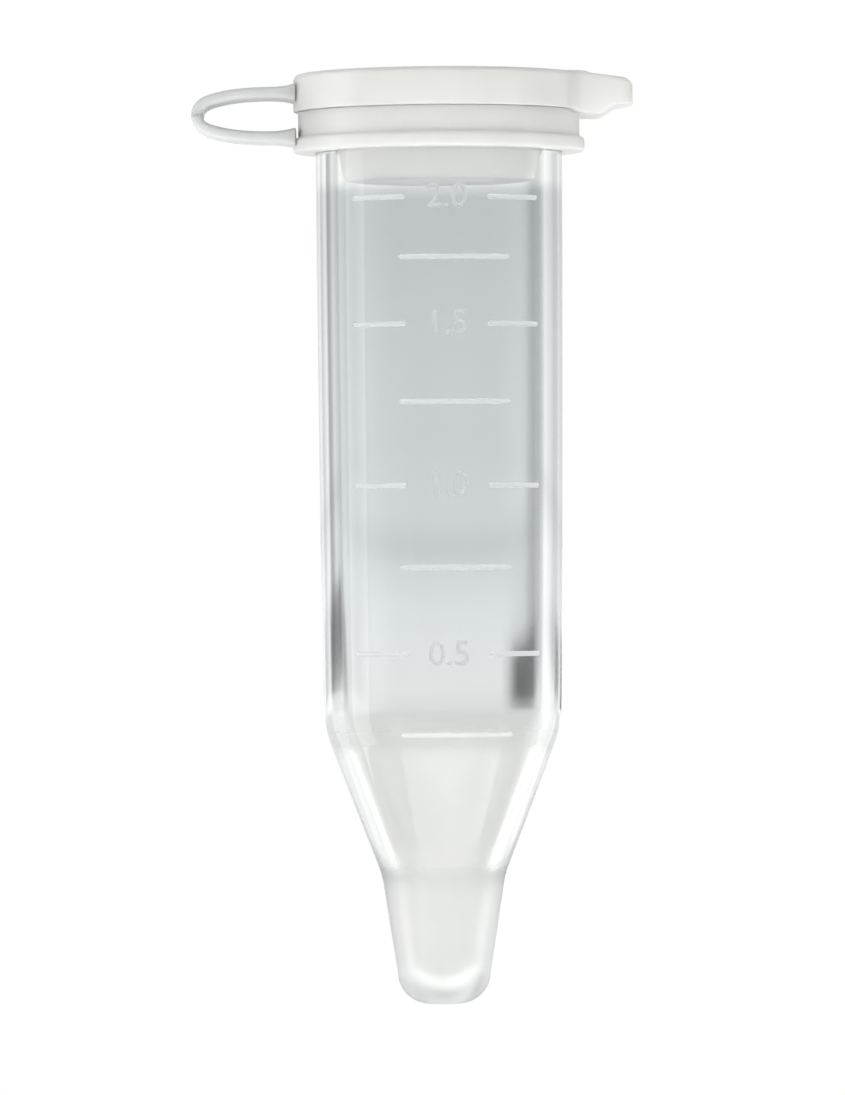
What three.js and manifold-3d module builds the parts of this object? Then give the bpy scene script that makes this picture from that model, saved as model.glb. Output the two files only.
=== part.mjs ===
// A 2 ml microcentrifuge tube with a snap lid on a folded strap. Units are millimetres.
// Z runs up the tube, X from the strap to the thumb tab, and the origin is the middle of the
// small flat at the very tip. The lid is shut, so the strap is folded into a flat loop.
import * as THREE from 'three';
import { mergeVertices } from 'three/addons/utils/BufferGeometryUtils.js';
import Module from 'manifold-3d';

const wasm = await Module();
wasm.setup();

// Vessel
const RIM_Z = 39.2;
const RIM_RADIUS = 5.43;
const MID_Z = 24;
const MID_RADIUS = 5.41;
const SHOULDER_Z = 12.2;
const SHOULDER_RADIUS = 5.23;
const CONE_FOOT_Z = 5.7;
const CONE_FOOT_RADIUS = 2.72;
const TIP_ROUND = 1.4;
const TIP_RADIUS = 2.05;
const TIP_FLAT_RADIUS = TIP_RADIUS - TIP_ROUND;
const BORE_RADIUS = 4.6;
const WALL = 0.85;
const FLOOR = 1.05;

// Collar
const COLLAR_Z = 37.5;
const COLLAR_RADIUS = 6.2;
const COLLAR_FOOT_RADIUS = 6.42;
const COLLAR_FOOT_HEIGHT = 0.6;

// Lid
const LID_Z = 39.3;
const LID_TOP_Z = 40.95;
const LID_RADIUS = 6.4;
const LID_EDGE_ROUND = 0.3;
const LID_PANEL_RADIUS = 4.6;
const LID_PANEL_DEPTH = 0.2;
const PLUG_FOOT_Z = 36.2;
const PLUG_RADIUS = 4.5;
const PLUG_FOOT_RADIUS = 4.25;
const PLUG_WALL = 0.75;
const TAB_REACH = 8.55;
const TAB_WIDTH = 5.6;
const TAB_END_WIDTH = 4.4;

// Strap
const STRAP_WIDTH = 3.2;
const STRAP_THICKNESS = 0.45;
const STRAP_ROOT_X = -6.52;
const STRAP_ROOT_THICKNESS = 0.8;
const STRAP_MID_Z = 39.15;
const STRAP_ROOT_RISE = 0.99;
const HINGE_X = -10.64;
const HINGE_RISE = 0.635;
const HINGE_GAP = 0.24;
const FOLD_BULGE = 0.1;

// Graduation: one mark every quarter of a millilitre, from 0.25 to 2 ml
const MARK_HEIGHTS = [11.93, 15.45, 19.23, 22.79, 26.44, 29.82, 32.73, 35.33];
const MARK_STEP_ML = 0.25;
const MARK_RELIEF = 0.08;
const MARK_THICKNESS = 0.22;
const MARK_GAP = 0.03;
const LONG_MARK = [-1.8, 3.0];
const LEFT_MARK = [-3.75, -1.5];
const RIGHT_MARK = [2.05, 4.2];

const AROUND = 64;
const GAP = 0.1;

const clear = { color: 0xdfe8ea, roughness: 0.08, metalness: 0, transparent: true, opacity: 0.45 };
const milky = { color: 0xe9ebe8, roughness: 0.35, metalness: 0 };
const frosted = { color: 0xf2f4f3, roughness: 0.5, metalness: 0 };

const part = new THREE.Group();

// A named sub-part, with its vertices merged so that it is one closed surface.
function add(name, geometry, finish) {
  const mesh = new THREE.Mesh(geometry, new THREE.MeshStandardMaterial(finish));
  mesh.name = name;
  part.add(mesh);
}

function closed(geometry) {
  geometry.deleteAttribute('normal');
  geometry.deleteAttribute('uv');
  const merged = mergeVertices(geometry, 1e-5);
  merged.computeVertexNormals();
  return merged;
}

function points(...pairs) {
  return pairs.map(([x, y]) => new THREE.Vector2(x, y));
}

// Turns an outline of [radius, height] points about Z.
function turned(outline) {
  return closed(new THREE.LatheGeometry(outline, AROUND).rotateX(Math.PI / 2));
}

// Extrudes an outline in X and Y upwards from z.
function raised(shape, z, height) {
  const settings = { depth: height, bevelEnabled: false, curveSegments: 10 };
  return closed(new THREE.ExtrudeGeometry(shape, settings).translate(0, 0, z));
}

// Extrudes an outline in X and Z across Y, centred on Y = 0.
function crossed(shape, width) {
  const settings = { depth: width, bevelEnabled: false, curveSegments: 10 };
  const geometry = new THREE.ExtrudeGeometry(shape, settings);
  return closed(geometry.rotateX(Math.PI / 2).translate(0, width / 2, 0));
}

function solid(geometry) {
  const vertProperties = new Float32Array(geometry.attributes.position.array);
  const triVerts = new Uint32Array(geometry.index.array);
  return new wasm.Manifold(new wasm.Mesh({ numProp: 3, vertProperties, triVerts }));
}

function fromSolid(manifold) {
  const { vertProperties, triVerts } = manifold.getMesh();
  const geometry = new THREE.BufferGeometry();
  geometry.setAttribute('position', new THREE.BufferAttribute(vertProperties, 3));
  geometry.setIndex(new THREE.BufferAttribute(triVerts, 1));
  geometry.computeVertexNormals();
  return geometry;
}

// Rounded tip, tapered tip wall, cone, softly rounded shoulder, drafted barrel and rim.
function vesselOutside() {
  const path = new THREE.Path();
  path.moveTo(0, 0);
  path.lineTo(TIP_FLAT_RADIUS, 0);
  path.absarc(TIP_FLAT_RADIUS, TIP_ROUND, TIP_ROUND, -Math.PI / 2, 0, false);
  path.lineTo(CONE_FOOT_RADIUS - 0.05, CONE_FOOT_Z - 0.3);
  path.quadraticCurveTo(CONE_FOOT_RADIUS, CONE_FOOT_Z, CONE_FOOT_RADIUS + 0.12, CONE_FOOT_Z + 0.32);
  path.lineTo(SHOULDER_RADIUS - 0.34, SHOULDER_Z - 0.88);
  path.quadraticCurveTo(SHOULDER_RADIUS, SHOULDER_Z, SHOULDER_RADIUS + 0.015, SHOULDER_Z + 1);
  path.lineTo(MID_RADIUS, MID_Z);
  path.lineTo(RIM_RADIUS, RIM_Z - 0.15);
  path.lineTo(RIM_RADIUS - 0.15, RIM_Z);
  return path.getPoints(5);
}

// From the rim's lead-in down the bore, through the inner cone to the round inner floor.
function vesselInside() {
  const shoulder = SHOULDER_RADIUS - WALL;
  const foot = CONE_FOOT_RADIUS - WALL - 0.06;
  const well = TIP_RADIUS - WALL;
  const path = new THREE.Path();
  path.moveTo(BORE_RADIUS + 0.15, RIM_Z);
  path.lineTo(BORE_RADIUS, RIM_Z - 0.3);
  path.lineTo(shoulder + 0.02, SHOULDER_Z + 1.1);
  path.quadraticCurveTo(shoulder, SHOULDER_Z + 0.2, shoulder - 0.3, SHOULDER_Z - 0.62);
  path.lineTo(foot + 0.16, CONE_FOOT_Z + 0.5);
  path.quadraticCurveTo(foot, CONE_FOOT_Z + 0.1, foot - 0.05, CONE_FOOT_Z - 0.3);
  path.lineTo(well, FLOOR + well);
  path.absarc(0, FLOOR + well, well, 0, -Math.PI / 2, true);
  return path.getPoints(5);
}

// The vessel's outer radius at a height.
function wallRadius(z) {
  const outline = vesselOutside();
  const above = outline.findIndex((point) => point.y > z);
  const [low, high] = outline.slice(above - 1, above + 1);
  return THREE.MathUtils.mapLinear(z, low.y, high.y, low.x, high.x);
}

function tubeBody() {
  const inside = vesselInside();
  inside[inside.length - 1].x = 0;
  return turned([...vesselOutside(), ...inside]);
}

// The ring round the mouth, with a small foot at its lower edge. It stands clear of the barrel.
function collar() {
  const inner = RIM_RADIUS + GAP;
  const footTop = COLLAR_Z + COLLAR_FOOT_HEIGHT;
  return turned(points(
    [inner, COLLAR_Z], [COLLAR_FOOT_RADIUS - 0.12, COLLAR_Z], [COLLAR_FOOT_RADIUS, COLLAR_Z + 0.12],
    [COLLAR_FOOT_RADIUS, footTop - 0.12], [COLLAR_RADIUS, footTop + 0.1],
    [COLLAR_RADIUS, RIM_Z - 0.12], [COLLAR_RADIUS - 0.12, RIM_Z], [inner, RIM_Z], [inner, COLLAR_Z],
  ));
}

// The lid's disc, with a shallow panel sunk into its top and a rounded outer edge.
function lidDisc() {
  const path = new THREE.Path();
  path.moveTo(0, LID_Z);
  path.lineTo(LID_RADIUS - 0.15, LID_Z);
  path.lineTo(LID_RADIUS, LID_Z + 0.15);
  path.lineTo(LID_RADIUS, LID_TOP_Z - LID_EDGE_ROUND);
  path.absarc(
    LID_RADIUS - LID_EDGE_ROUND, LID_TOP_Z - LID_EDGE_ROUND, LID_EDGE_ROUND, 0, Math.PI / 2, false,
  );
  path.lineTo(LID_PANEL_RADIUS + LID_PANEL_DEPTH, LID_TOP_Z);
  path.lineTo(LID_PANEL_RADIUS, LID_TOP_Z - LID_PANEL_DEPTH);
  path.lineTo(0, LID_TOP_Z - LID_PANEL_DEPTH);
  return turned(path.getPoints(4));
}

// The hollow skirt that seals the bore. It tapers, so that it swings clear as the lid opens.
function sealingPlug() {
  const top = LID_Z - 0.05;
  const inner = PLUG_RADIUS - PLUG_WALL;
  const innerFoot = PLUG_FOOT_RADIUS - PLUG_WALL + 0.2;
  return turned(points(
    [innerFoot, PLUG_FOOT_Z], [PLUG_FOOT_RADIUS - 0.2, PLUG_FOOT_Z], [PLUG_FOOT_RADIUS, PLUG_FOOT_Z + 0.3],
    [PLUG_RADIUS - 0.06, 37.7], [PLUG_RADIUS, 38.2], [PLUG_RADIUS - 0.04, 38.7], [PLUG_RADIUS - 0.04, top],
    [inner, top], [innerFoot, PLUG_FOOT_Z],
  ));
}

// The thumb tab: a round-cornered plan cut to its side profile.
function thumbTab() {
  const half = TAB_WIDTH / 2;
  const endHalf = TAB_END_WIDTH / 2;
  const seat = LID_RADIUS + GAP;
  const turn = Math.asin(half / seat);
  const plan = new THREE.Shape();
  plan.moveTo(seat * Math.cos(turn), half);
  plan.absarc(0, 0, seat, turn, -turn, true);
  plan.lineTo(TAB_REACH - 1.2, -endHalf - 0.3);
  plan.quadraticCurveTo(TAB_REACH, -endHalf, TAB_REACH, -endHalf + 1.1);
  plan.lineTo(TAB_REACH, endHalf - 1.1);
  plan.quadraticCurveTo(TAB_REACH, endHalf, TAB_REACH - 1.2, endHalf + 0.3);
  const side = new THREE.Shape();
  side.moveTo(5, 39.3);
  side.lineTo(6.5, 39.06);
  side.lineTo(7.0, 39.06);
  side.quadraticCurveTo(7.3, 39.1, 7.54, 39.42);
  side.lineTo(8.3, 39.52);
  side.quadraticCurveTo(TAB_REACH, 39.56, TAB_REACH, 39.8);
  side.lineTo(TAB_REACH, 40.35);
  side.quadraticCurveTo(TAB_REACH, 40.66, 8.2, 40.7);
  side.lineTo(6.4, 40.78);
  side.lineTo(5, 40.8);
  const plate = solid(raised(plan, 38, 4));
  return fromSolid(plate.intersect(solid(crossed(side, TAB_WIDTH + 1))));
}

// A ribbon outline in X and Z: the curve with half its thickness on each side.
function ribbon(curve, thicknessAt, steps) {
  const left = [];
  const right = [];
  for (let i = 0; i <= steps; i += 1) {
    const t = i / steps;
    const point = curve.getPoint(t);
    const tangent = curve.getTangent(t);
    const offset = new THREE.Vector2(-tangent.y, tangent.x).multiplyScalar(thicknessAt(t) / 2);
    left.push(point.clone().add(offset));
    right.push(point.clone().sub(offset));
  }
  return new THREE.Shape([...left, ...right.reverse()]);
}

// One band of the strap, from its thick root beside the rim to the crease; side is -1 for the
// lower band, on the collar, and 1 for the upper band, on the lid.
function strapBand(side) {
  const rootZ = STRAP_MID_Z + side * STRAP_ROOT_RISE;
  const endZ = STRAP_MID_Z + side * (HINGE_RISE + 0.03);
  const curve = new THREE.CubicBezierCurve(
    new THREE.Vector2(STRAP_ROOT_X, rootZ),
    new THREE.Vector2(STRAP_ROOT_X - 1.8, rootZ),
    new THREE.Vector2(HINGE_X + 1.5, rootZ - side * 0.12),
    new THREE.Vector2(HINGE_X + HINGE_GAP, endZ),
  );
  const flare = STRAP_ROOT_THICKNESS - STRAP_THICKNESS;
  const thickness = (t) => STRAP_THICKNESS + flare * Math.max(0, 1 - t * 6) ** 2;
  return crossed(ribbon(curve, thickness, 12), STRAP_WIDTH);
}

// The short upright turn of the strap between its two creases.
function strapFold() {
  const reach = HINGE_RISE - HINGE_GAP;
  const curve = new THREE.QuadraticBezierCurve(
    new THREE.Vector2(HINGE_X, STRAP_MID_Z - reach),
    new THREE.Vector2(HINGE_X - 2 * FOLD_BULGE, STRAP_MID_Z),
    new THREE.Vector2(HINGE_X, STRAP_MID_Z + reach),
  );
  return crossed(ribbon(curve, () => STRAP_THICKNESS, 6), STRAP_WIDTH);
}

// A moulded line on the barrel's front, from one x to another, as a thin piece of ring.
function mark([from, to], z) {
  const inner = wallRadius(z + MARK_THICKNESS / 2) + MARK_GAP;
  const outer = inner + MARK_RELIEF;
  const start = -Math.acos(from / inner);
  const end = -Math.acos(to / inner);
  const shape = new THREE.Shape();
  shape.absarc(0, 0, outer, start, end, false);
  shape.absarc(0, 0, inner, end, start, true);
  return raised(shape, z - MARK_THICKNESS / 2, MARK_THICKNESS);
}

// Lines at the odd quarters are whole; the others leave room for a number between two halves.
function addMarks() {
  MARK_HEIGHTS.forEach((z, i) => {
    const level = String(Math.round((i + 1) * MARK_STEP_ML * 1000)).padStart(4, '0');
    if (i % 2 === 0) {
      add(`mark_${level}_ul`, mark(LONG_MARK, z), frosted);
      return;
    }
    add(`mark_${level}_ul_left`, mark(LEFT_MARK, z), frosted);
    add(`mark_${level}_ul_right`, mark(RIGHT_MARK, z), frosted);
  });
}

add('tube_body', tubeBody(), clear);
add('collar', collar(), milky);
add('strap_lower_band', strapBand(-1), milky);
add('strap_fold', strapFold(), milky);
add('strap_upper_band', strapBand(1), milky);
add('lid_disc', lidDisc(), milky);
add('sealing_plug', sealingPlug(), milky);
add('thumb_tab', thumbTab(), milky);
addMarks();

export default part;
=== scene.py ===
"""A 2 ml microcentrifuge tube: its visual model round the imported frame, and the studio that shows it."""

import math

import bmesh
import bpy
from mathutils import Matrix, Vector


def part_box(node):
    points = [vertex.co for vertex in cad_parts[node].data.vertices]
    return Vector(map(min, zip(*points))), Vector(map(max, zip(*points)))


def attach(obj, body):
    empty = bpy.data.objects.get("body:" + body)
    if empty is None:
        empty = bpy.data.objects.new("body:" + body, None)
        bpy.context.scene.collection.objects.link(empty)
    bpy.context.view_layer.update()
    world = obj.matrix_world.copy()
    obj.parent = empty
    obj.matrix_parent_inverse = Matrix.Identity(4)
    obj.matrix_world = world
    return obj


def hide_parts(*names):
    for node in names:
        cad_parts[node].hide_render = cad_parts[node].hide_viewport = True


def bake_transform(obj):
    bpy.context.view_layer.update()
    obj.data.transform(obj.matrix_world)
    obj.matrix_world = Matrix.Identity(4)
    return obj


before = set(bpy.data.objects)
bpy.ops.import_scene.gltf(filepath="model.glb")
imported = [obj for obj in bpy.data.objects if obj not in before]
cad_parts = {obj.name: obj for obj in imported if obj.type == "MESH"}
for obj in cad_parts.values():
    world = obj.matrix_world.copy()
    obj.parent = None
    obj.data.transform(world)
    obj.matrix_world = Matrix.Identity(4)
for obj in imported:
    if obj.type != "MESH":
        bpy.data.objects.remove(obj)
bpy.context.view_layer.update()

MM = 0.001
AROUND = 192        # steps round a turned piece
WELD = 1e-5         # mm between points that are one
EDGE_ANGLE = 38     # degrees above which an edge is drawn sharp
RELIEF_ANGLE = 60   # the same on the small raised marks


# ---------------------------------------------------------------- outlines

class Outline:
    """A line of (radius, height) points in millimetres, of straight runs, quadratic curves and arcs."""

    def __init__(self, r, z):
        self.points = [(r, z)]

    def to(self, r, z, steps=1):
        """A straight run to a point."""
        r0, z0 = self.points[-1]
        for i in range(1, steps + 1):
            t = i / steps
            self.points.append((r0 + (r - r0) * t, z0 + (z - z0) * t))
        return self

    def curve(self, cr, cz, r, z, steps):
        """A curve to (r, z), drawn towards (cr, cz)."""
        r0, z0 = self.points[-1]
        for i in range(1, steps + 1):
            t = i / steps
            a, b, c = (1 - t) ** 2, 2 * t * (1 - t), t * t
            self.points.append((a * r0 + b * cr + c * r, a * z0 + b * cz + c * z))
        return self

    def arc(self, cr, cz, radius, start, end, steps):
        """A round stretch about (cr, cz), between two angles in degrees."""
        for i in range(1, steps + 1):
            a = math.radians(start + (end - start) * i / steps)
            self.points.append((cr + radius * math.cos(a), cz + radius * math.sin(a)))
        return self


def bezier(p0, p1, p2, p3, steps):
    """Points of a cubic curve, without its first."""
    made = []
    for i in range(1, steps + 1):
        t = i / steps
        w = ((1 - t) ** 3, 3 * t * (1 - t) ** 2, 3 * t * t * (1 - t), t ** 3)
        made.append(tuple(sum(k * p[n] for k, p in zip(w, (p0, p1, p2, p3))) for n in (0, 1)))
    return made


def radius_on(line, z):
    """Radius of a rising outline at a height, or 0 past its ends."""
    for (r0, z0), (r1, z1) in zip(line, line[1:]):
        if z0 <= z <= z1 and z1 > z0:
            return r0 + (r1 - r0) * (z - z0) / (z1 - z0)
    return 0


def held(value):
    """A value held between 0 and 1."""
    return min(1.0, max(0.0, value))


# ---------------------------------------------------------------- meshes

def finish_mesh(name, bm, sharp=EDGE_ANGLE):
    """An object from a bmesh in millimetres, welded, facing outwards, smooth apart from its sharp edges."""
    bmesh.ops.remove_doubles(bm, verts=bm.verts, dist=WELD)
    bmesh.ops.recalc_face_normals(bm, faces=bm.faces)
    for v in bm.verts:
        v.co *= MM
    mesh = bpy.data.meshes.new(name)
    bm.to_mesh(mesh)
    bm.free()
    for polygon in mesh.polygons:
        polygon.use_smooth = True
    mesh.set_sharp_from_angle(angle=math.radians(sharp))
    made = bpy.data.objects.new(name, mesh)
    bpy.context.scene.collection.objects.link(made)
    return made


def ring(bm, points):
    return [bm.verts.new(p) for p in points]


def bridge(bm, a, b):
    """Quads between two closed rings, or triangles where one of them is a single point."""
    n = max(len(a), len(b))
    if n == 1:
        return
    for i in range(n):
        j = (i + 1) % n
        corners = [a[i % len(a)], a[j % len(a)], b[j % len(b)], b[i % len(b)]]
        bm.faces.new(list(dict.fromkeys(corners)))


def bridge_all(bm, rings):
    for a, b in zip(rings, rings[1:]):
        bridge(bm, a, b)


def close_ends(bm, rings):
    for end in (rings[0], rings[-1]):
        bm.faces.new(end)


def angles(count):
    return [2 * math.pi * i / count for i in range(count)]


def circle(r, z, turns):
    """Points at one radius and height, or a single point on the axis."""
    if r < WELD:
        return [(0, 0, z)]
    return [(r * math.cos(t), r * math.sin(t), z) for t in turns]


def turned(name, outline, closed=False):
    """A solid of revolution round the tube's axis: a ring if closed, else it starts and ends on the axis."""
    bm = bmesh.new()
    turns = angles(AROUND)
    rings = [ring(bm, circle(r, z, turns)) for r, z in outline.points]
    bridge_all(bm, rings)
    if closed:
        bridge(bm, rings[-1], rings[0])
    return finish_mesh(name, bm)


# ---------------------------------------------------------------- nodes

def object_place(tree):
    """Place on the piece, in metres in its own coordinates."""
    return tree.nodes.new("ShaderNodeTexCoord").outputs["Object"]


def noise(tree, scale, detail, stretch=(1, 1, 1)):
    """Noise over the piece, with about scale bumps to the metre."""
    mapping = tree.nodes.new("ShaderNodeMapping")
    mapping.inputs["Scale"].default_value = stretch
    tree.links.new(object_place(tree), mapping.inputs["Vector"])
    made = tree.nodes.new("ShaderNodeTexNoise")
    made.inputs["Scale"].default_value = scale
    made.inputs["Detail"].default_value = detail
    tree.links.new(mapping.outputs["Vector"], made.inputs["Vector"])
    return made.outputs["Fac"]


def ramp(tree, source, stops):
    """A colour by a 0 to 1 value, from (place, colour) stops in rising order."""
    made = tree.nodes.new("ShaderNodeValToRGB")
    elements = made.color_ramp.elements
    elements[0].position, elements[0].color = stops[0][0], (*stops[0][1], 1)
    elements[1].position, elements[1].color = stops[-1][0], (*stops[-1][1], 1)
    for place_at, colour in stops[1:-1]:
        elements.new(place_at).color = (*colour, 1)
    tree.links.new(source, made.inputs["Fac"])
    return made.outputs["Color"]


def remap(tree, source, old, new):
    """A value moved from one range to another, and held inside it."""
    made = tree.nodes.new("ShaderNodeMapRange")
    made.inputs["From Min"].default_value, made.inputs["From Max"].default_value = old
    made.inputs["To Min"].default_value, made.inputs["To Max"].default_value = new
    tree.links.new(source, made.inputs["Value"])
    return made.outputs["Result"]


def arithmetic(tree, operation, a, b):
    """Two sockets, or a socket and a number, through one operation."""
    made = tree.nodes.new("ShaderNodeMath")
    made.operation = operation
    for socket, value in zip(made.inputs, (a, b)):
        if isinstance(value, (int, float)):
            socket.default_value = value
        else:
            tree.links.new(value, socket)
    return made.outputs[0]


def colour_mix(tree, kind):
    made = tree.nodes.new("ShaderNodeMix")
    made.data_type = "RGBA"
    made.blend_type = kind
    share, first, second, result = made.inputs[0], made.inputs[6], made.inputs[7], made.outputs[2]
    return share, first, second, result


def multiplied(tree, a, b):
    share, first, second, result = colour_mix(tree, "MULTIPLY")
    share.default_value = 1.0
    tree.links.new(a, first)
    tree.links.new(b, second)
    return result


# ---------------------------------------------------------------- materials

PLASTIC_IOR = 1.49
RIPPLE = 0.000006   # metres between a moulded surface's highs and lows
TINT_AND_SHADE_TOP = 45       # mm up the tube at which the height tint and painted shade end
FROST = 0.34        # roughness of a fully frosted surface

# The clear wall's colour by height, (mm, colour): partly the plastic's tint, partly painted shade, the barrel
# darker than the cone and the well.
WELL_TINT_AND_SHADE = (0.90, 0.90, 0.885)
CONE_TINT_AND_SHADE = (0.84, 0.84, 0.825)
WALL_TINT_AND_SHADE = [(0, WELL_TINT_AND_SHADE), (5, WELL_TINT_AND_SHADE), (7, CONE_TINT_AND_SHADE), (11.5, CONE_TINT_AND_SHADE), (13.2, (0.80, 0.805, 0.80)),
              (18, (0.765, 0.78, 0.78)), (35.7, (0.755, 0.775, 0.785)), (36.2, (1.0, 1.0, 0.99))]


def material(name):
    made = bpy.data.materials.new(name)
    made.use_nodes = True
    shader = next(n for n in made.node_tree.nodes if n.type == "BSDF_PRINCIPLED")
    shader.inputs["IOR"].default_value = PLASTIC_IOR
    return made, made.node_tree, shader


def ripple(tree, source, shader, strength):
    """The faint waviness of a moulded surface."""
    made = tree.nodes.new("ShaderNodeBump")
    made.inputs["Distance"].default_value = RIPPLE
    made.inputs["Strength"].default_value = strength
    tree.links.new(source, made.inputs["Height"])
    tree.links.new(made.outputs["Normal"], shader.inputs["Normal"])


def painted(tree, name):
    """A value painted on the mesh's points."""
    made = tree.nodes.new("ShaderNodeAttribute")
    made.attribute_name = name
    return made.outputs["Fac"]


def height_tint_and_shade(tree, stops):
    """A colour by height up the tube, from (millimetres, colour) stops."""
    split = tree.nodes.new("ShaderNodeSeparateXYZ")
    tree.links.new(object_place(tree), split.inputs[0])
    share = arithmetic(tree, "DIVIDE", split.outputs["Z"], TINT_AND_SHADE_TOP * MM)
    return ramp(tree, share, [(z / TINT_AND_SHADE_TOP, colour) for z, colour in stops])


def clear_plastic():
    """The vessel's wall: clear, with a tint by height that is partly painted shade, darker and cooler in the
    barrel, with long faint streaks and a frosted cone and tip.
    """
    made, tree, shader = material("clear_plastic")
    streaks = noise(tree, 900, 3, (1, 1, 0.12))
    mottle = ramp(tree, streaks, [(0.3, (0.975, 0.975, 0.975)), (0.7, (1.0, 1.0, 1.0))])
    # Painted shade: the base colour darkens by height up the barrel, times faint random streaks.
    tree.links.new(multiplied(tree, height_tint_and_shade(tree, WALL_TINT_AND_SHADE), mottle), shader.inputs["Base Color"])
    frost = arithmetic(tree, "MULTIPLY", painted(tree, "frost"), FROST)
    fine = remap(tree, noise(tree, 2500, 4), (0, 1), (0.01, 0.045))
    tree.links.new(arithmetic(tree, "ADD", frost, fine), shader.inputs["Roughness"])
    shader.inputs["Transmission Weight"].default_value = 1.0
    ripple(tree, noise(tree, 420, 2, (1, 1, 0.25)), shader, 0.4)
    return made


def milky_plastic(name, clearness, dull, pale):
    """Natural polypropylene: a share of clear plastic in a waxy white one, clouded between two tones."""
    made, tree, shader = material(name)
    tint = ramp(tree, noise(tree, 700, 4), [(0.3, dull), (0.7, pale)])
    tree.links.new(tint, shader.inputs["Base Color"])
    tree.links.new(remap(tree, noise(tree, 3200, 4), (0, 1), (0.25, 0.4)), shader.inputs["Roughness"])
    shader.inputs["Transmission Weight"].default_value = clearness
    shader.inputs["Subsurface Weight"].default_value = 0.6
    shader.inputs["Subsurface Radius"].default_value = (1.0, 1.0, 0.95)
    shader.inputs["Subsurface Scale"].default_value = 1.2 * MM
    ripple(tree, noise(tree, 900, 2), shader, 0.3)
    return made


def relief_plastic(name, clearness):
    """The moulded marks: the wall's own plastic with a light etch."""
    made, tree, shader = material(name)
    grain = noise(tree, 9000, 4)
    tint = ramp(tree, grain, [(0.3, (0.95, 0.96, 0.96)), (0.7, (0.99, 0.99, 0.99))])
    tree.links.new(tint, shader.inputs["Base Color"])
    tree.links.new(remap(tree, grain, (0, 1), (0.3, 0.5)), shader.inputs["Roughness"])
    shader.inputs["Transmission Weight"].default_value = clearness
    return made


CLEAR = clear_plastic()
MILKY = milky_plastic("milky_plastic", 0.4, (0.735, 0.73, 0.705), (0.77, 0.765, 0.74))
# Painted light: the plug is the lid's plastic made much paler, in place of light that the clear wall keeps
# from it.
PLUG_PAINTED_LIGHT = milky_plastic("plug_painted_light", 0.3, (0.97, 0.975, 0.955), (0.99, 0.99, 0.97))
# Painted shade: the strap is the lid's plastic made much darker.
STRAP_PAINTED_SHADE = milky_plastic("strap_painted_shade", 0.2, (0.5, 0.51, 0.5), (0.55, 0.56, 0.55))
LINE_PLASTIC = relief_plastic("etched_line", 0.87)
DIGIT_PLASTIC = relief_plastic("etched_digit", 0.96)


def place(piece, look, slot, body, *nodes):
    """Gives a piece its look, lets it ride on a body and stand for the named CAD nodes; its slot is not used.
    """
    piece.data.materials.append(look)
    if body:
        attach(piece, body)
    if nodes:
        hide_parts(*nodes)
    return piece


# ---------------------------------------------------------------- the vessel

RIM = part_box("tube_body")[1].z / MM
BARREL = 5.43
RIM_ROUND = 0.16
RIM_TALL = 0.17
TIP_FLAT = 0.65
TIP_ROUND = 1.4
WELL_ROUND = 1.45
WELL_MIDDLE = 2.2


def outer_line():
    """The outside: the tip's flat and round end, the cone, the bent shoulder, the barrel and the rim."""
    line = Outline(0, 0).to(TIP_FLAT, 0, 3).arc(TIP_FLAT, TIP_ROUND, TIP_ROUND, -90, 0, 18)
    line.to(2.67, 5.4, 6).curve(2.72, 5.7, 2.84, 6.02, 8).to(4.93, 11.42, 10)
    line.curve(5.22, 12.16, 5.2425, 12.98, 14).curve(5.405, 23.5, BARREL, 36, 24)
    return line.to(BARREL, RIM - RIM_TALL, 3).curve(BARREL, RIM, BARREL - RIM_ROUND, RIM, 6)


def add_inner_line(line):
    """The inside, from the rim down the bore and the cone to the round floor of the well."""
    line.to(4.85, RIM, 2).curve(4.72, RIM, 4.66, RIM - RIM_ROUND, 5).to(4.6, 38.9)
    line.to(4.585, 36, 3).curve(4.56, 23.5, 4.39, 13.0, 24).curve(4.374, 12.35, 4.1, 11.63, 14)
    line.to(2.05, 6.25, 8).curve(1.94, 5.9, 1.92, 5.4, 6).to(WELL_ROUND, WELL_MIDDLE, 5)
    return line.arc(0, WELL_MIDDLE, WELL_ROUND, 0, -90, 14)


OUTSIDE = outer_line().points
INSIDE = add_inner_line(Outline(BARREL - RIM_ROUND, RIM)).points[::-1]


def frost_at(r, z):
    """Share of frost: the cavity's shoulder, cone and well, and the outside of the tip."""
    tip = held((7.4 - z) / 1.8)
    if r >= (radius_on(INSIDE, z) + radius_on(OUTSIDE, z)) / 2:
        return 0.95 * tip
    cone = held((12.7 - z) / 0.8)
    shoulder = held((1.1 - abs(z - 12.1)) / 0.5)
    return 0.18 * cone + 0.82 * tip + 0.6 * shoulder


def paint_frost(piece):
    layer = piece.data.attributes.new("frost", "FLOAT", "POINT")
    places = [v.co / MM for v in piece.data.vertices]
    layer.data.foreach_set("value", [frost_at(math.hypot(x, y), z) for x, y, z in places])


def vessel_wall():
    made = turned("vessel_wall", add_inner_line(outer_line()))
    paint_frost(made)
    return made


place(vessel_wall(), CLEAR, "clear_wall", "tube", "tube_body")


# ---------------------------------------------------------------- the collar

COLLAR_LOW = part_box("collar")[0].z / MM
COLLAR_TOP = RIM + 0.08
COLLAR_R = 6.2
FOOT_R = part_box("collar")[1].x / MM
FOOT_TALL = 0.6
MILKY_EDGE = 0.05   # rounding of the collar's top and the lid's underside


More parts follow.
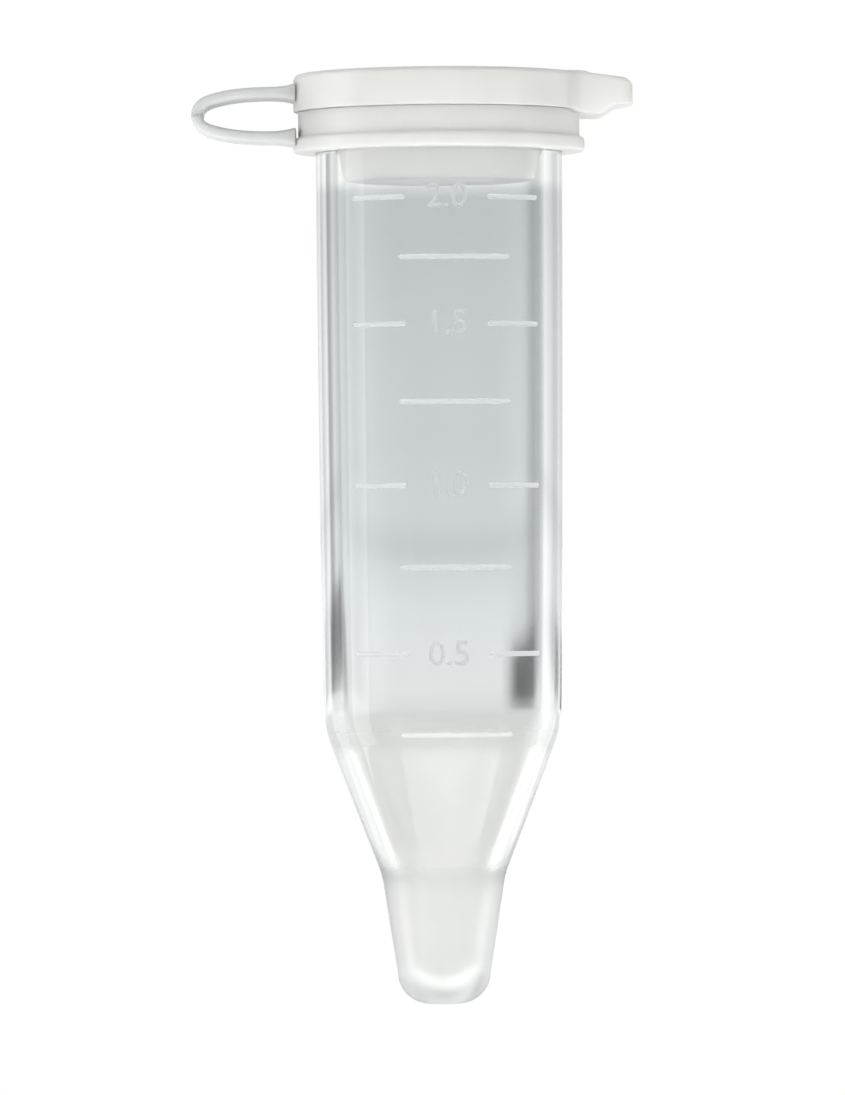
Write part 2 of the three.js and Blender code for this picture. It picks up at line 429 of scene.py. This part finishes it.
def collar_ring():
    inner = BARREL + 0.02
    foot = COLLAR_LOW + FOOT_TALL
    line = Outline(inner, COLLAR_LOW).to(FOOT_R - 0.14, COLLAR_LOW)
    line.curve(FOOT_R, COLLAR_LOW, FOOT_R, COLLAR_LOW + 0.14, 5)
    line.to(FOOT_R, foot - 0.16).curve(FOOT_R, foot, COLLAR_R + 0.1, foot + 0.03, 6)
    line.curve(COLLAR_R, foot + 0.05, COLLAR_R, foot + 0.16, 4).to(COLLAR_R, COLLAR_TOP - MILKY_EDGE, 3)
    line.curve(COLLAR_R, COLLAR_TOP, COLLAR_R - MILKY_EDGE, COLLAR_TOP, 5).to(inner, COLLAR_TOP, 2)
    return turned("collar_ring", line, closed=True)


place(collar_ring(), MILKY, "milky_plastic", "tube", "collar")


# ---------------------------------------------------------------- the lid

LID_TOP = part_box("lid_disc")[1].z / MM
LID_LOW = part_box("lid_disc")[0].z / MM
LID_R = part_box("lid_disc")[1].y / MM
LID_STEPS = 384
LID_EDGE = 0.28
EDGE_STEPS = 8
LOW_EDGE_STEPS = 6
PANEL_SUNK = 0.2
PANEL = [(1.5, 1), (3, 1), (4.2, 1), (4.42, 1), (4.5, 0.96), (4.56, 0.8), (4.62, 0.45), (4.68, 0.12),
         (4.76, 0), (5.2, 0)]    # radius, share of the panel's depth

TAB_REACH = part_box("thumb_tab")[1].x / MM
TAB_ROOT_X = 5.5
TAB_ROOT_HALF = 2.8
TAB_TIP_HALF = 2.2
TAB_ROUND = 1.0
TAB_MELT = 0.5      # mm past the disc at which the tab's own profile is reached
TAB_STEPS = 200
REACH_PASSES = 10

# Side profiles along x: the tab's top slopes down a little, and its underside steps up to a thin lip.
TOP_LINE = [(0, LID_TOP), (6.2, LID_TOP), (6.9, 40.8), (8.0, 40.7), (8.6, 40.62), (9, 40.6)]
UNDER_LINE = [(0, LID_LOW), (5.6, LID_LOW), (6.3, 39.08), (7.0, 39.06), (7.25, 39.12), (7.5, 39.4),
              (7.75, 39.5), (9, 39.56)]

PLUG_TOP = LID_LOW + 0.06
PLUG_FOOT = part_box("sealing_plug")[0].z / MM
PLUG_ROUND = 0.3


def plug_skirt():
    """A hollow skirt with a sealing bead round it and a rounded foot."""
    line = Outline(4.46, PLUG_TOP).to(4.46, 38.7, 2).curve(4.5, 38.4, 4.5, 38.2, 4)
    line.curve(4.5, 37.95, 4.44, 37.7, 4).to(4.25, PLUG_FOOT + PLUG_ROUND, 5)
    line.curve(4.2, PLUG_FOOT, 4.0, PLUG_FOOT, 6)
    line.curve(3.74, PLUG_FOOT, 3.72, PLUG_FOOT + PLUG_ROUND, 6).to(3.75, PLUG_TOP, 6)
    return turned("plug_skirt", line, closed=True)


def height(line, x):
    """Height along a side profile at x, smoothed between its points."""
    for (x0, z0), (x1, z1) in zip(line, line[1:]):
        if x0 <= x <= x1:
            t = (x - x0) / (x1 - x0)
            return z0 + (z1 - z0) * t * t * (3 - 2 * t)
    return line[-1][1]


def tab_half(x):
    """Half the tab's width at x: it narrows to its end, which has round corners."""
    half = TAB_ROOT_HALF + (TAB_TIP_HALF - TAB_ROOT_HALF) * (x - TAB_ROOT_X) / (TAB_REACH - TAB_ROOT_X)
    corner = min(x - (TAB_REACH - TAB_ROUND), TAB_ROUND)
    if corner > 0:
        half -= TAB_ROUND - math.sqrt(max(0, TAB_ROUND ** 2 - corner ** 2))
    return half


def lid_reach(turn):
    """Distance from the axis to the lid's edge in a direction: a round disc, with the tab drawn out of it."""
    x, y = math.cos(turn), abs(math.sin(turn))
    if x > 0:
        for i in range(TAB_STEPS):
            r = LID_R + (TAB_REACH - LID_R) * (1 - i / TAB_STEPS)
            if r * y <= tab_half(r * x) and r * x <= TAB_REACH:
                return r
    return LID_R


def smoothed_reaches(turns):
    """The lid's edge all round, with the tab's inner corners rounded."""
    reach = [lid_reach(t) for t in turns]
    for _ in range(REACH_PASSES):
        reach = [(reach[i - 1] + 2 * reach[i] + reach[(i + 1) % LID_STEPS]) / 4 for i in range(LID_STEPS)]
    return reach


def lid_edge(turns, reach, inset, level):
    """Points this far in from the lid's edge, at a level worked out from the top and underside there."""
    points = []
    for t, r in zip(turns, reach):
        x, y = (r - inset) * math.cos(t), (r - inset) * math.sin(t)
        melt = held((r - LID_R) / TAB_MELT)
        high = LID_TOP + (height(TOP_LINE, max(0, x)) - LID_TOP) * melt
        low = LID_LOW + (height(UNDER_LINE, max(0, x)) - LID_LOW) * melt
        points.append((x, y, level(high, low)))
    return points


def lid_cap():
    """The lid and its thumb tab in one skin, from the middle of its panel round its edge to its underside."""
    turns = angles(LID_STEPS)
    reach = smoothed_reaches(turns)
    lines = [circle(0, LID_TOP - PANEL_SUNK, turns)]
    lines += [circle(r, LID_TOP - PANEL_SUNK * share, turns) for r, share in PANEL]
    for inset in (0.9, 0.6, 0.42):
        lines.append(lid_edge(turns, reach, inset, lambda high, low: high))
    for k in range(EDGE_STEPS + 1):
        a = math.radians(90 * k / EDGE_STEPS)
        inset, drop = LID_EDGE * (1 - math.sin(a)), LID_EDGE * (1 - math.cos(a))
        lines.append(lid_edge(turns, reach, inset, lambda high, low: high - drop))
    for k in range(LOW_EDGE_STEPS + 1):
        a = math.radians(90 * k / LOW_EDGE_STEPS)
        inset, rise = MILKY_EDGE * (1 - math.cos(a)), MILKY_EDGE * (1 - math.sin(a))
        lines.append(lid_edge(turns, reach, inset, lambda high, low: low + rise))
    for inset in (0.35, 0.6, 0.9, 1.15):
        lines.append(lid_edge(turns, reach, inset, lambda high, low: low))
    lines += [circle(r, LID_LOW, turns) for r in (5.0, 4.5, 3.5, 2, 0.8, 0)]
    bm = bmesh.new()
    bridge_all(bm, [ring(bm, line) for line in lines])
    return finish_mesh("lid_cap", bm)


place(lid_cap(), MILKY, "milky_plastic", "lid", "lid_disc", "thumb_tab")
place(plug_skirt(), PLUG_PAINTED_LIGHT, "milky_plastic", "lid", "sealing_plug")


# ---------------------------------------------------------------- the strap

STRAP_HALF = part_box("strap_lower_band")[1].y / MM
STRAP_MIDDLE = 39.15
STRAP_THICK = 0.48
STRAP_EDGE = 0.17
STRAP_EDGE_SHARE = 0.36     # most of a thin band's thickness that its edge's rounding takes
STRAP_EDGE_STEPS = 5
STRAP_RISE = 0.975      # from the loop's middle to the centreline of a band
STRAP_FLARE = 0.3       # how much thicker a band is at its root
FLARE_X = -7.4
FLARE_LONG = 1.1
TIP_X = -10.63


def strap_line(side):
    """Centreline of half the loop, from its root to the middle of its tip, as (x, z)."""
    rise = [(TIP_X, 0)] + bezier((TIP_X, 0), (TIP_X, 0.36), (-10.36, 0.56), (-10.0, 0.67), 14)
    rise += bezier((-10.0, 0.67), (-9.4, 0.855), (-8.7, 0.96), (-7.6, STRAP_RISE), 18)
    rise += [(x, STRAP_RISE) for x in (-7.1, -6.7, -6.3)]
    return [(x, STRAP_MIDDLE + side * h) for x, h in reversed(rise)]


def band_section(thick):
    """A band's section with rounded edges, as (across its width, off its centreline)."""
    edge = min(STRAP_EDGE, thick * STRAP_EDGE_SHARE)
    section = []
    for width_side, face_side, start in ((1, 1, 0), (-1, 1, 90), (-1, -1, 180), (1, -1, 270)):
        for k in range(STRAP_EDGE_STEPS + 1):
            a = math.radians(start + 90 * k / STRAP_EDGE_STEPS)
            y = width_side * (STRAP_HALF - edge) + edge * math.cos(a)
            section.append((y, face_side * (thick / 2 - edge) + edge * math.sin(a)))
    return section


def strap_ribbon(name, side):
    """Half the loop: a band along its centreline, thicker at its root, cut level at the loop's tip."""
    line = strap_line(side)
    last = len(line) - 1
    bm = bmesh.new()
    rings = []
    for i, (x, z) in enumerate(line):
        before, after = line[max(0, i - 1)], line[min(last, i + 1)]
        along = Vector((after[0] - before[0], after[1] - before[1])).normalized()
        if i == last:
            along = Vector((0, -side))
        thick = STRAP_THICK + STRAP_FLARE * max(0, (x - FLARE_X) / FLARE_LONG) ** 2
        rings.append(ring(bm, [(x - along.y * n, y, z + along.x * n) for y, n in band_section(thick)]))
    bridge_all(bm, rings)
    close_ends(bm, rings)
    return finish_mesh(name, bm)


def strap(name, side, nodes):
    """Half the loop, standing for the named CAD nodes, with no body to ride on and its place baked into its
    mesh.
    """
    piece = place(strap_ribbon(name, side), STRAP_PAINTED_SHADE, "milky_plastic", None, *nodes)
    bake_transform(piece)


strap("strap_lower", -1, ["strap_lower_band", "strap_fold"])
strap("strap_upper", 1, ["strap_upper_band"])


# ---------------------------------------------------------------- marks and numerals

MARK_OFF = 0.045        # from the wall to the middle of a line's section
MARK_HALF_DEEP = 0.03
MARK_HALF_TALL = 0.11
MARK_ROUND = 0.11       # length of a line's rounded end
MARK_STEPS = 40
MARK_SIDES = 12
MARK_THINNEST = 0.03    # square of the share of its section that a line keeps at its very end
CAD_MARK_OFF = 0.05     # from the wall to the places that the CAD line's width is measured at
NUMERALS = {500: "0.5", 1000: "1.0", 1500: "1.5", 2000: "2.0"}
NUMERAL_SIZE = 1.5
NUMERAL_MIDDLE = 0.3
NUMERAL_OFF = 0.04
NUMERAL_HALF_DEEP = 0.012
NUMERAL_BEVEL = 0.012


def wrap_round_wall(bm, z_middle):
    """Bends flat work, drawn at y = height off the wall, round the barrel's front."""
    for v in bm.verts:
        x, off, z = v.co
        r = radius_on(OUTSIDE, z) + off
        turn = x / radius_on(OUTSIDE, z_middle)
        v.co = (r * math.sin(turn), -r * math.cos(turn), z)


def mark_ridge(node):
    """One graduation line in its CAD node's place: a flat oval section with rounded ends."""
    low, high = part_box(node)
    z = (low.z + high.z) / 2 / MM
    wall = radius_on(OUTSIDE, z)
    start, end = (math.asin(x / MM / (wall + CAD_MARK_OFF)) * wall for x in (low.x, high.x))
    bm = bmesh.new()
    rings = []
    for i in range(MARK_STEPS + 1):
        t = i / MARK_STEPS
        to_end = min(t, 1 - t) * (end - start)
        fat = math.sqrt(max(MARK_THINNEST, 1 - max(0, 1 - to_end / MARK_ROUND) ** 2))
        deep, tall = MARK_HALF_DEEP * fat, MARK_HALF_TALL * fat
        x = start + (end - start) * t
        section = [(x, MARK_OFF + deep * math.sin(a), z + tall * math.cos(a)) for a in angles(MARK_SIDES)]
        rings.append(ring(bm, section))
    bridge_all(bm, rings)
    close_ends(bm, rings)
    wrap_round_wall(bm, z)
    return finish_mesh(node + "_ridge", bm, RELIEF_ANGLE)


def numeral_curve(name, words):
    curve = bpy.data.curves.new(name, "FONT")
    curve.body = words
    curve.size = NUMERAL_SIZE
    curve.align_x = "CENTER"
    curve.align_y = "CENTER"
    curve.extrude = NUMERAL_HALF_DEEP
    curve.bevel_depth = NUMERAL_BEVEL
    curve.bevel_resolution = 1
    return curve


def numeral(name, words, z):
    """Raised digits on the wall, in the gap between two half lines."""
    flat = bpy.data.objects.new(name + "_flat", numeral_curve(name, words))
    mesh = bpy.data.meshes.new_from_object(flat)
    bpy.data.objects.remove(flat)
    bm = bmesh.new()
    bm.from_mesh(mesh)
    bmesh.ops.triangulate(bm, faces=bm.faces)
    for v in bm.verts:
        x, y, off = v.co
        v.co = (x + NUMERAL_MIDDLE, off + NUMERAL_OFF, y + z)
    wrap_round_wall(bm, z)
    return finish_mesh(name, bm, RELIEF_ANGLE)


for node in sorted(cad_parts):
    if node.startswith("mark_"):
        place(mark_ridge(node), LINE_PLASTIC, "raised_mark", "tube", node)

for volume, words in NUMERALS.items():
    low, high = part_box(f"mark_{volume:04d}_ul_left")
    middle = (low.z + high.z) / 2 / MM
    place(numeral(f"numeral_{volume:04d}_ul", words, middle), DIGIT_PLASTIC, "raised_mark", "tube")


# ---------------------------------------------------------------- the camera

VIEW_FROM = 345 * MM
VIEW_X = -0.84 * MM
VIEW_Z = 20.1 * MM
VIEW_TALL = 48.27 * MM
VIEW_ROLL = 0.38
SENSOR = 36


def camera():
    """A long lens level with the tube's middle, in front of its marks."""
    data = bpy.data.cameras.new("camera")
    data.sensor_fit = "AUTO"
    data.sensor_width = SENSOR
    data.lens = SENSOR * VIEW_FROM / VIEW_TALL
    data.clip_start, data.clip_end = 0.01, 60
    made = bpy.data.objects.new("camera", data)
    made.location = (VIEW_X, -VIEW_FROM, VIEW_Z)
    made.rotation_euler = (math.radians(90), math.radians(VIEW_ROLL), 0)
    bpy.context.scene.collection.objects.link(made)
    bpy.context.scene.camera = made


# ---------------------------------------------------------------- the floor and backdrop

FLOOR_HALF = 1.2
FLOOR_DROP = 0.5 * MM
DOME_R = 1.6


def white_glow(name, see_through_back):
    """An even white glow, from both sides or with a clear back."""
    made = bpy.data.materials.new(name)
    made.use_nodes = True
    nodes, links = made.node_tree.nodes, made.node_tree.links
    nodes.clear()
    glow = nodes.new("ShaderNodeEmission")
    clear = nodes.new("ShaderNodeBsdfTransparent")
    sided = nodes.new("ShaderNodeMixShader")
    out = nodes.new("ShaderNodeOutputMaterial")
    sided.inputs[0].default_value = 0
    if see_through_back:
        face = nodes.new("ShaderNodeNewGeometry")
        links.new(face.outputs["Backfacing"], sided.inputs[0])
    links.new(glow.outputs[0], sided.inputs[1])
    links.new(clear.outputs[0], sided.inputs[2])
    links.new(sided.outputs[0], out.inputs["Surface"])
    return made


def white_stage(name, bm, see_through_back):
    """A glowing white surface that only the camera sees."""
    mesh = bpy.data.meshes.new(name)
    bm.to_mesh(mesh)
    bm.free()
    mesh.materials.append(white_glow(name, see_through_back))
    made = bpy.data.objects.new(name, mesh)
    bpy.context.scene.collection.objects.link(made)
    made.visible_diffuse = made.visible_glossy = made.visible_transmission = False
    made.visible_shadow = made.visible_volume_scatter = False
    return made


def floor():
    """A white floor just under the tube, which a camera below it looks through."""
    bm = bmesh.new()
    bmesh.ops.create_grid(bm, x_segments=1, y_segments=1, size=FLOOR_HALF)
    white_stage("floor", bm, True).location.z = -FLOOR_DROP


def backdrop():
    bm = bmesh.new()
    bmesh.ops.create_icosphere(bm, subdivisions=4, radius=DOME_R)
    white_stage("backdrop", bm, False)


# ---------------------------------------------------------------- the light

# The clear wall shows the room round it, so the room is drawn here as soft bands of light. Each list has
# (degrees, level) stops. Elevation is above the horizon. Bearing is from straight behind the tube, where 90
# is to its right. A level past 1 brightens, and ramps hold levels at LEVEL_SCALE, so that 1.25 still fits.
LEVEL_SCALE = 0.8
BRIGHT = 2 / LEVEL_SCALE ** 2
ROOM_TINT = (0.985, 1.0, 1.005)
NEAR = 0.1          # sine of the elevation at which the bands close to the horizon end

# By elevation, close to the horizon.
SKY = [(-5.5, 0.62), (-3, 0.57), (-1.33, 0.585), (-1.04, 0.62), (-0.75, 0.63), (-0.45, 0.61), (-0.31, 0.58),
       (-0.18, 0.555), (-0.1, 0.48), (0.03, 0.48), (0.1, 0.525), (0.28, 0.545), (0.5, 0.53), (0.94, 0.525),
       (1.45, 0.51), (1.8, 0.495), (2.4, 0.465), (5.5, 0.48)]

# By bearing: the room's bright and dim uprights, and a plainer sweep where ROUND_ROWS is 0.
ROUND = [(-180, 0.85), (-120, 0.85), (-66, 1.2), (-58, 1.0), (-50, 0.72), (-44, 0.85), (-36, 0.42),
         (-31, 0.45), (-29, 0.9), (-24, 1.1), (-18, 0.94), (-13, 0.86), (-10.5, 0.94), (-8.5, 1.06),
         (-7, 1.08), (-5, 1.05), (-3, 1.0), (5, 1.0), (8, 1.04), (10, 1.03), (12, 0.98), (14.5, 0.72),
         (18, 0.62), (28, 0.6), (31, 0.76), (35, 0.9), (46, 1.08), (51, 1.0), (60, 0.86), (90, 0.85),
         (180, 0.85)]
ROUND_ROWS = [(-1.5, 0), (-1.25, 1)]
SWEEP = [(-180, 1), (-60, 1), (-30, 1.25), (-12, 1.2), (-4, 0.9), (4, 0.9), (12, 1.2), (30, 1.25), (60, 1),
         (180, 1)]

# By bearing, well below the horizon, where the cone and the tip look. It fades out by LOW_ROWS.
LOW_ROUND = [(-180, 0.85), (-64, 0.85), (-56, 1.2), (-46, 1.2), (-40, 0.72), (-8, 0.7), (-2, 0.85),
             (4, 0.85), (9, 0.7), (32, 0.7), (36, 1.25), (56, 1.25), (66, 0.85), (180, 0.85)]
LOW_ROWS = [(-78, 0.3), (-70, 0.8), (-40, 0.8), (-28, 1), (-4.5, 1), (-2.6, 0)]

# Two dark patches just below the horizon, one on each side.
DARK_ROUND = [(-62, 0), (-50, 0.8), (-27, 0.8), (-22, 0), (6, 0), (9, 1), (18, 1), (24, 0.3), (40, 0)]
DARK_ROWS = [(-1.95, 0), (-1.6, 1), (-0.95, 1), (-0.72, 0.18), (0.3, 0)]

LIGHT_AIM = Vector((0, 0, 0.02))


def near_place(elevation):
    return (math.sin(math.radians(elevation)) + NEAR) / (2 * NEAR)


def low_place(elevation):
    return 1 + math.sin(math.radians(elevation))


def round_place(bearing):
    return 0.5 + bearing / 360


def levels(tree, source, stops, to_place, scale=1.0):
    """A grey by a 0 to 1 value, from stops in degrees."""
    return ramp(tree, source, [(to_place(degrees), (level * scale,) * 3) for degrees, level in stops])


def crossfaded(tree, plain, colour, share):
    """A colour where the share is 1, and the plain one, or an even level, where it is 0."""
    mix_share, first, second, result = colour_mix(tree, "MIX")
    first.default_value = (LEVEL_SCALE, LEVEL_SCALE, LEVEL_SCALE, 1)
    if plain:
        tree.links.new(plain, first)
    tree.links.new(share, mix_share)
    tree.links.new(colour, second)
    return result


def room_light(tree):
    """The light from every direction, as a colour."""
    where = tree.nodes.new("ShaderNodeTexCoord")
    split = tree.nodes.new("ShaderNodeSeparateXYZ")
    tree.links.new(where.outputs["Generated"], split.inputs[0])
    up = split.outputs["Z"]
    near = remap(tree, up, (-NEAR, NEAR), (0, 1))
    low = remap(tree, up, (-1, 0), (0, 1))
    bearing = arithmetic(tree, "ARCTAN2", split.outputs["X"], split.outputs["Y"])
    around = remap(tree, bearing, (-math.pi, math.pi), (0, 1))

    sky = ramp(tree, near, [(near_place(e), tuple(level * c for c in ROOM_TINT)) for e, level in SKY])
    uprights = crossfaded(tree, levels(tree, around, SWEEP, round_place, LEVEL_SCALE),
                          levels(tree, around, ROUND, round_place, LEVEL_SCALE),
                          levels(tree, near, ROUND_ROWS, near_place))
    below = crossfaded(tree, None, levels(tree, around, LOW_ROUND, round_place, LEVEL_SCALE),
                       levels(tree, low, LOW_ROWS, low_place))
    light = multiplied(tree, multiplied(tree, sky, uprights), below)

    invert = tree.nodes.new("ShaderNodeInvert")
    dark = multiplied(tree, levels(tree, near, DARK_ROWS, near_place),
                      levels(tree, around, DARK_ROUND, round_place))
    tree.links.new(dark, invert.inputs["Color"])
    return multiplied(tree, light, invert.outputs[0])


def room():
    world = bpy.data.worlds.new("studio")
    bpy.context.scene.world = world
    world.use_nodes = True
    glow = next(n for n in world.node_tree.nodes if n.type == "BACKGROUND")
    world.node_tree.links.new(room_light(world.node_tree), glow.inputs["Color"])
    glow.inputs["Strength"].default_value = BRIGHT


def softbox(name, place_at, size, radiance):
    """A soft rectangular light that faces the tube."""
    data = bpy.data.lights.new(name, "AREA")
    data.shape = "RECTANGLE"
    data.size, data.size_y = size
    data.energy = radiance * math.pi * size[0] * size[1]
    made = bpy.data.objects.new(name, data)
    made.location = place_at
    made.rotation_euler = (LIGHT_AIM - Vector(place_at)).to_track_quat("-Z", "Z").to_euler()
    made.visible_camera = False
    bpy.context.scene.collection.objects.link(made)
    return made


def lights():
    """Softboxes at the left, above at the front, and below at the front for the milky undersides."""
    softbox("side_light", (-0.3, -0.02, 0.02), (0.38, 0.12), 1.7).visible_transmission = False
    softbox("key_light", (-0.12, -0.3, 0.28), (0.25, 0.25), 0.15)
    softbox("fill_light", (0.02, -0.26, -0.24), (1.5, 0.26), 2.6).visible_glossy = False


def picture():
    """Plain colour, and enough bounces for light to cross both walls and the plug."""
    view = bpy.context.scene.view_settings
    view.view_transform = "Standard"
    view.look = "None"
    cycles = bpy.context.scene.cycles
    cycles.max_bounces = 24
    cycles.transmission_bounces = 20
    cycles.glossy_bounces = 8
    cycles.diffuse_bounces = 4
    cycles.blur_glossy = 0.3


camera()
floor()
backdrop()
room()
lights()
picture()
